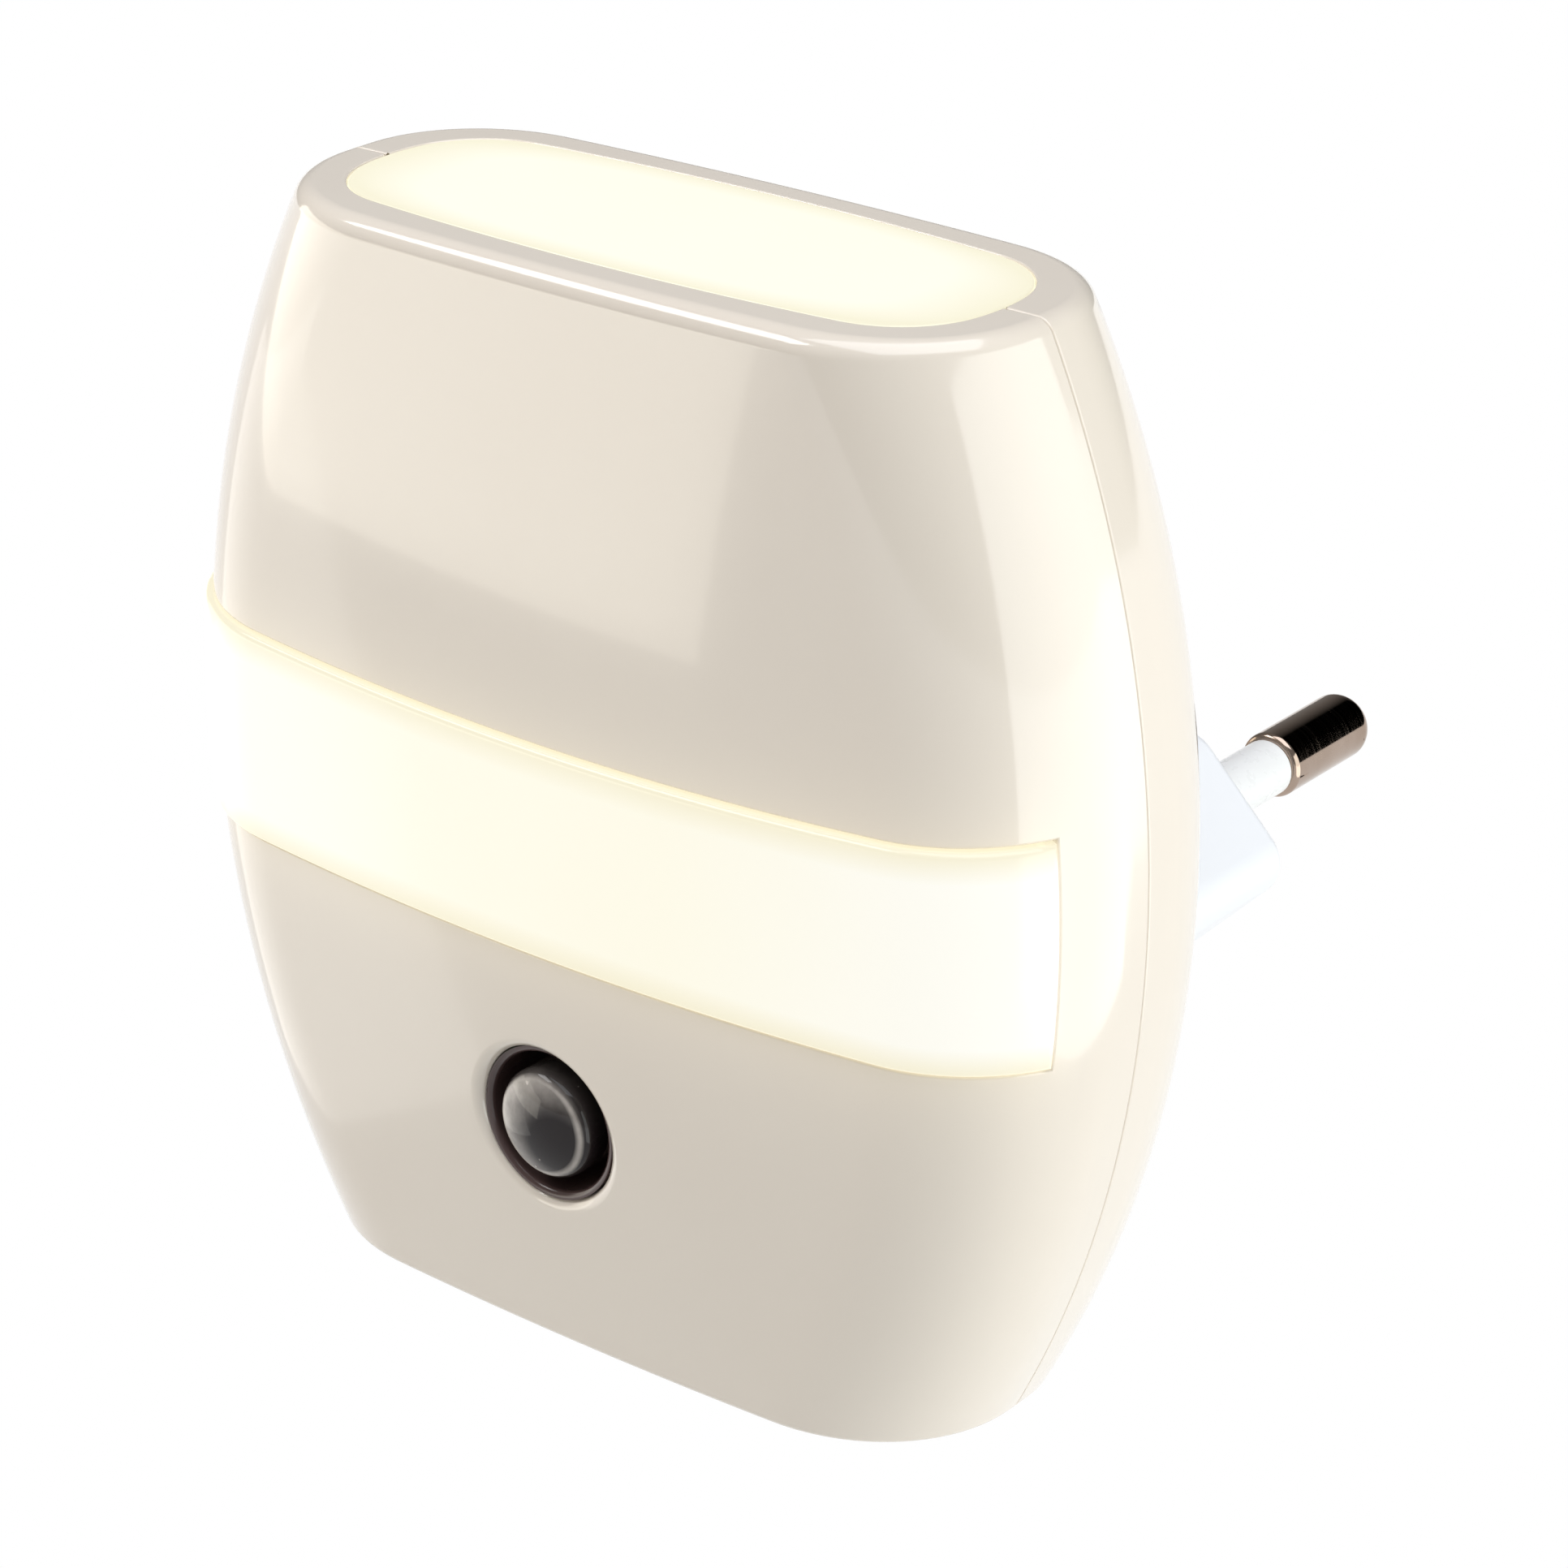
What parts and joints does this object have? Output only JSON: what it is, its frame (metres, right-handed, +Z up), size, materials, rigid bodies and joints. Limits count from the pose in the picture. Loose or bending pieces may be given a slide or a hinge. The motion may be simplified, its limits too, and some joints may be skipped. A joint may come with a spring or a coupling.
{
  "type": "plug-in night light",
  "caption": "Dusk-sensing plug-in night light: glossy barrel-shaped case with a lit band around its front, a lit oval window in its top and a two-pin plug on its back.",
  "frame": {"origin": "centre of the plug's flat face, midway between the two pins", "axes": "+X to the right of someone looking at the lit band, +Y out of the plug's face along the pins, towards the wall, +Z up, with the oval window on top"},
  "size_m": [0.0586, 0.0629, 0.06],
  "materials": {
    "case_plastic": "glossy cream moulded plastic",
    "lit_plastic": "smooth translucent plastic, glowing warm white",
    "shroud_plastic": "dark brown, glossy inside",
    "clear_plastic": "clear and polished",
    "sensor_plastic": "black, glossy domed end",
    "plug_plastic": "smooth bluish white moulded plastic",
    "pin_metal": "bright nickel plate on brass",
    "sleeve_plastic": "smooth white",
    "wire_insulation": "red wire covering",
    "board_laminate": "green coated glass-fibre board",
    "lamp_yellow": "pale yellow phosphor in a white frame",
    "lamp_clear": "clear epoxy lamp",
    "film_coating": "ochre dipped coating",
    "can_sleeve": "dark blue shrink sleeve",
    "chip_plastic": "black moulding compound",
    "fuse_coating": "green flame-proof coating",
    "resistor_coating": "beige painted ceramic",
    "screw_steel": "zinc-plated steel"
  },
  "bodies": {
    "root": {"front_cover": "case_plastic", "rear_cover": "case_plastic", "top_window": "lit_plastic", "front_band": "lit_plastic", "sensor_shroud": "shroud_plastic", "sensor_lens": "clear_plastic", "light_sensor": "sensor_plastic", "plug_body": "plug_plastic", "pin_left": "pin_metal", "pin_right": "pin_metal", "sleeve_left": "sleeve_plastic", "sleeve_right": "sleeve_plastic", "lead_left": "wire_insulation", "lead_right": "wire_insulation", "circuit_board": "board_laminate", "band_led_left": "lamp_yellow", "band_led_middle": "lamp_yellow", "band_led_right": "lamp_yellow", "top_led_left": "lamp_clear", "top_led_right": "lamp_clear", "dropper_capacitor": "film_coating", "smoothing_capacitor": "can_sleeve", "bridge_rectifier": "chip_plastic", "fuse_resistor": "fuse_coating", "bleed_resistor": "resistor_coating", "bias_resistor": "resistor_coating", "switch_transistor": "chip_plastic", "board_screws": "screw_steel", "case_screws": "screw_steel"}
  },
  "joints": []
}
